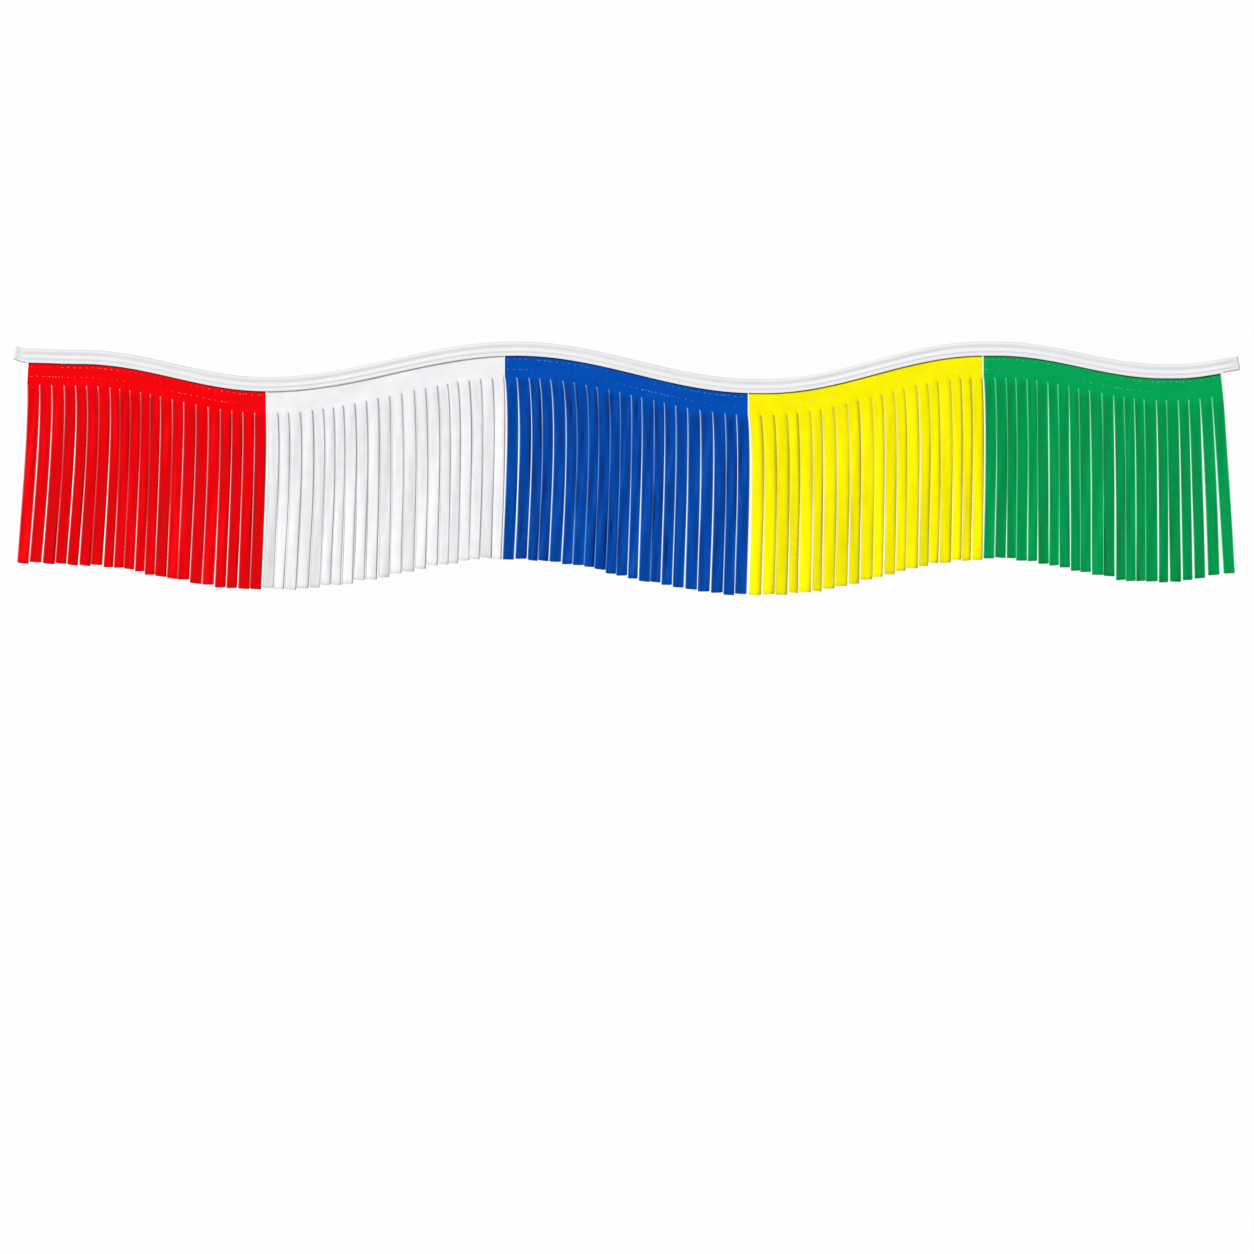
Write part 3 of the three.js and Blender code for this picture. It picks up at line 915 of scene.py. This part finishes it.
class PENNANT_OT_tape_stitches(bpy.types.Operator):
    """Makes the row of stitches along the tape's waist, front and back"""

    bl_idname = "pennant.tape_stitches"
    bl_label = "Tape stitches"

    def execute(self, context):
        thread = context.scene.pennant_thread
        pitch = thread.pitch / MM
        left, right = (end["edge"] for end in TAPE_ENDS)
        along, across_row = TAPE_STITCH_STRAYS
        along_salt, across_salt = TAPE_STITCH_SALTS
        x = np.arange(left + pitch, right, pitch)
        number = np.arange(len(x))
        x = x + along * uneven(number, along_salt)
        drop = WAIST_DROP + WAIST_SWING * np.sin(x / WAIST_SWING_REACH)
        drop = drop + across_row * uneven(number, across_salt)
        half = tape_half(x, drop)
        one = np.ones(len(x))
        columns = ((x, x + pitch / 2), (-half, half), (drop, drop), (-one, one), (one, one))
        stitches = [np.concatenate(pair) for pair in columns]
        material = thread_material("white_sewing_thread", thread.colour)
        piece = make_thread("tape_stitches", stitches, TAPE_STITCH, material)
        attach(piece, BODY)
        return {"FINISHED"}


class PENNANT_OT_band_stitches(bpy.types.Operator):
    """Makes the two rows of small stitches on the film's band"""

    bl_idname = "pennant.band_stitches"
    bl_label = "Band stitches"

    def execute(self, context):
        thread = context.scene.pennant_thread
        film = context.scene.pennant_film
        pitch = thread.band_pitch / MM
        proud = film.thickness / MM / 2
        rows = []
        for panel in PANELS:
            for row, row_drop in enumerate(BAND_STITCH_DROPS):
                x, drop, size = band_row(panel, row, row_drop, pitch)
                for side, place in ((-1, x), (1, x + pitch / 2)):
                    depth = band_depth(place, drop) + side * proud
                    rows.append((place, depth, drop, side * np.ones(len(x)), size))
        stitches = [np.concatenate(column) for column in zip(*rows)]
        material = thread_material("pale_sewing_thread", thread.colour)
        piece = make_thread("band_stitches", stitches, BAND_STITCH, material)
        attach(piece, BODY)
        return {"FINISHED"}


class PENNANT_OT_stage(bpy.types.Operator):
    """Makes the camera, the soft studio light, the pale floor and the background"""

    bl_idname = "pennant.stage"
    bl_label = "Stage"

    def execute(self, context):
        stage = context.scene.pennant_stage
        add_camera()
        add_sun("key_light", stage.key, *KEY_LIGHT)
        add_sun("fill_light", stage.fill, *FILL_LIGHT)
        add_sun("back_light", stage.key * BACK_SHARE, *BACK_LIGHT)
        add_world(stage.ambient, stage.background)
        add_floor(stage.background)
        context.scene.view_settings.view_transform = "Standard"
        return {"FINISHED"}


def add_camera():
    """A long lens straight on, whose frame is FRAME_WIDTH wide at the object."""
    data = bpy.data.cameras.new("camera")
    data.sensor_width = SENSOR_WIDTH
    data.lens = SENSOR_WIDTH * CAMERA_DISTANCE / FRAME_WIDTH
    data.clip_end = 100
    camera = bpy.data.objects.new("camera", data)
    camera.location = FRAME_CENTRE - Vector((0, CAMERA_DISTANCE, 0))
    camera.rotation_euler = (math.pi / 2, 0, 0)
    bpy.context.scene.collection.objects.link(camera)
    bpy.context.scene.camera = camera


def add_sun(name, strength, azimuth, elevation, spread):
    """A soft distant light from an azimuth and an elevation in degrees."""
    data = bpy.data.lights.new(name, "SUN")
    data.energy = strength
    data.angle = math.radians(spread)
    light = bpy.data.objects.new(name, data)
    a, e = math.radians(azimuth), math.radians(elevation)
    towards = Vector((math.sin(a) * math.cos(e), -math.cos(a) * math.cos(e), math.sin(e)))
    light.rotation_euler = towards.to_track_quat("Z", "Y").to_euler()
    bpy.context.scene.collection.objects.link(light)


def add_world(ambient, background):
    """White light from all round, dimmer than the plain white that the background shows."""
    world = bpy.data.worlds.new("studio")
    bpy.context.scene.world = world
    world.use_nodes = True
    tree = world.node_tree
    around = tree.nodes["Background"]
    around.inputs["Color"].default_value = (1, 1, 1, 1)
    around.inputs["Strength"].default_value = ambient
    seen = add_node(tree, "ShaderNodeBackground", Color=background, Strength=1.0)
    path = add_node(tree, "ShaderNodeLightPath")
    mix = add_node(tree, "ShaderNodeMixShader", [
        (0, path.outputs["Is Camera Ray"]),
        (1, around.outputs["Background"]),
        (2, seen.outputs["Background"]),
    ])
    tree.links.new(mix.outputs["Shader"], tree.nodes["World Output"].inputs["Surface"])


def add_floor(colour):
    """A pale square floor below the frame."""
    span, height = FLOOR_SPAN, FLOOR_HEIGHT
    corners = [(-span, -span, height), (span, -span, height), (span, span, height), (-span, span, height)]
    mesh = bpy.data.meshes.new("floor")
    mesh.from_pydata(corners, [], [(0, 1, 2, 3)])
    mesh.materials.append(floor_material("pale_studio_vinyl", colour))
    floor = bpy.data.objects.new("floor", mesh)
    bpy.context.scene.collection.objects.link(floor)


class PENNANT_PT_panel(bpy.types.Panel):
    """Lists the pieces and their settings"""

    bl_label = "Fringed Pennant String"
    bl_idname = "PENNANT_PT_panel"
    bl_space_type = "VIEW_3D"
    bl_region_type = "UI"
    bl_category = "Pennant"

    def draw(self, context):
        scene = context.scene
        for operator, group in STEPS:
            box = self.layout.box()
            box.operator(operator)
            for name in getattr(scene, group).__annotations__:
                box.prop(getattr(scene, group), name)


STEPS = (
    ("pennant.film_panels", "pennant_film"),
    ("pennant.header_tape", "pennant_tape"),
    ("pennant.tape_stitches", "pennant_thread"),
    ("pennant.band_stitches", "pennant_thread"),
    ("pennant.stage", "pennant_stage"),
)
GROUPS = {
    "pennant_film": PennantFilm,
    "pennant_tape": PennantTape,
    "pennant_thread": PennantThread,
    "pennant_stage": PennantStage,
}
CLASSES = (
    *GROUPS.values(),
    PENNANT_OT_film_panels,
    PENNANT_OT_header_tape,
    PENNANT_OT_tape_stitches,
    PENNANT_OT_band_stitches,
    PENNANT_OT_stage,
    PENNANT_PT_panel,
)


def register():
    for cls in CLASSES:
        bpy.utils.register_class(cls)
    for name, group in GROUPS.items():
        setattr(bpy.types.Scene, name, bpy.props.PointerProperty(type=group))


def unregister():
    for name in GROUPS:
        delattr(bpy.types.Scene, name)
    for cls in reversed(CLASSES):
        bpy.utils.unregister_class(cls)


def main():
    register()
    bpy.ops.pennant.header_tape()
    bpy.ops.pennant.film_panels()
    bpy.ops.pennant.tape_stitches()
    bpy.ops.pennant.band_stitches()
    bpy.ops.pennant.stage()


if __name__ == "__main__":
    main()
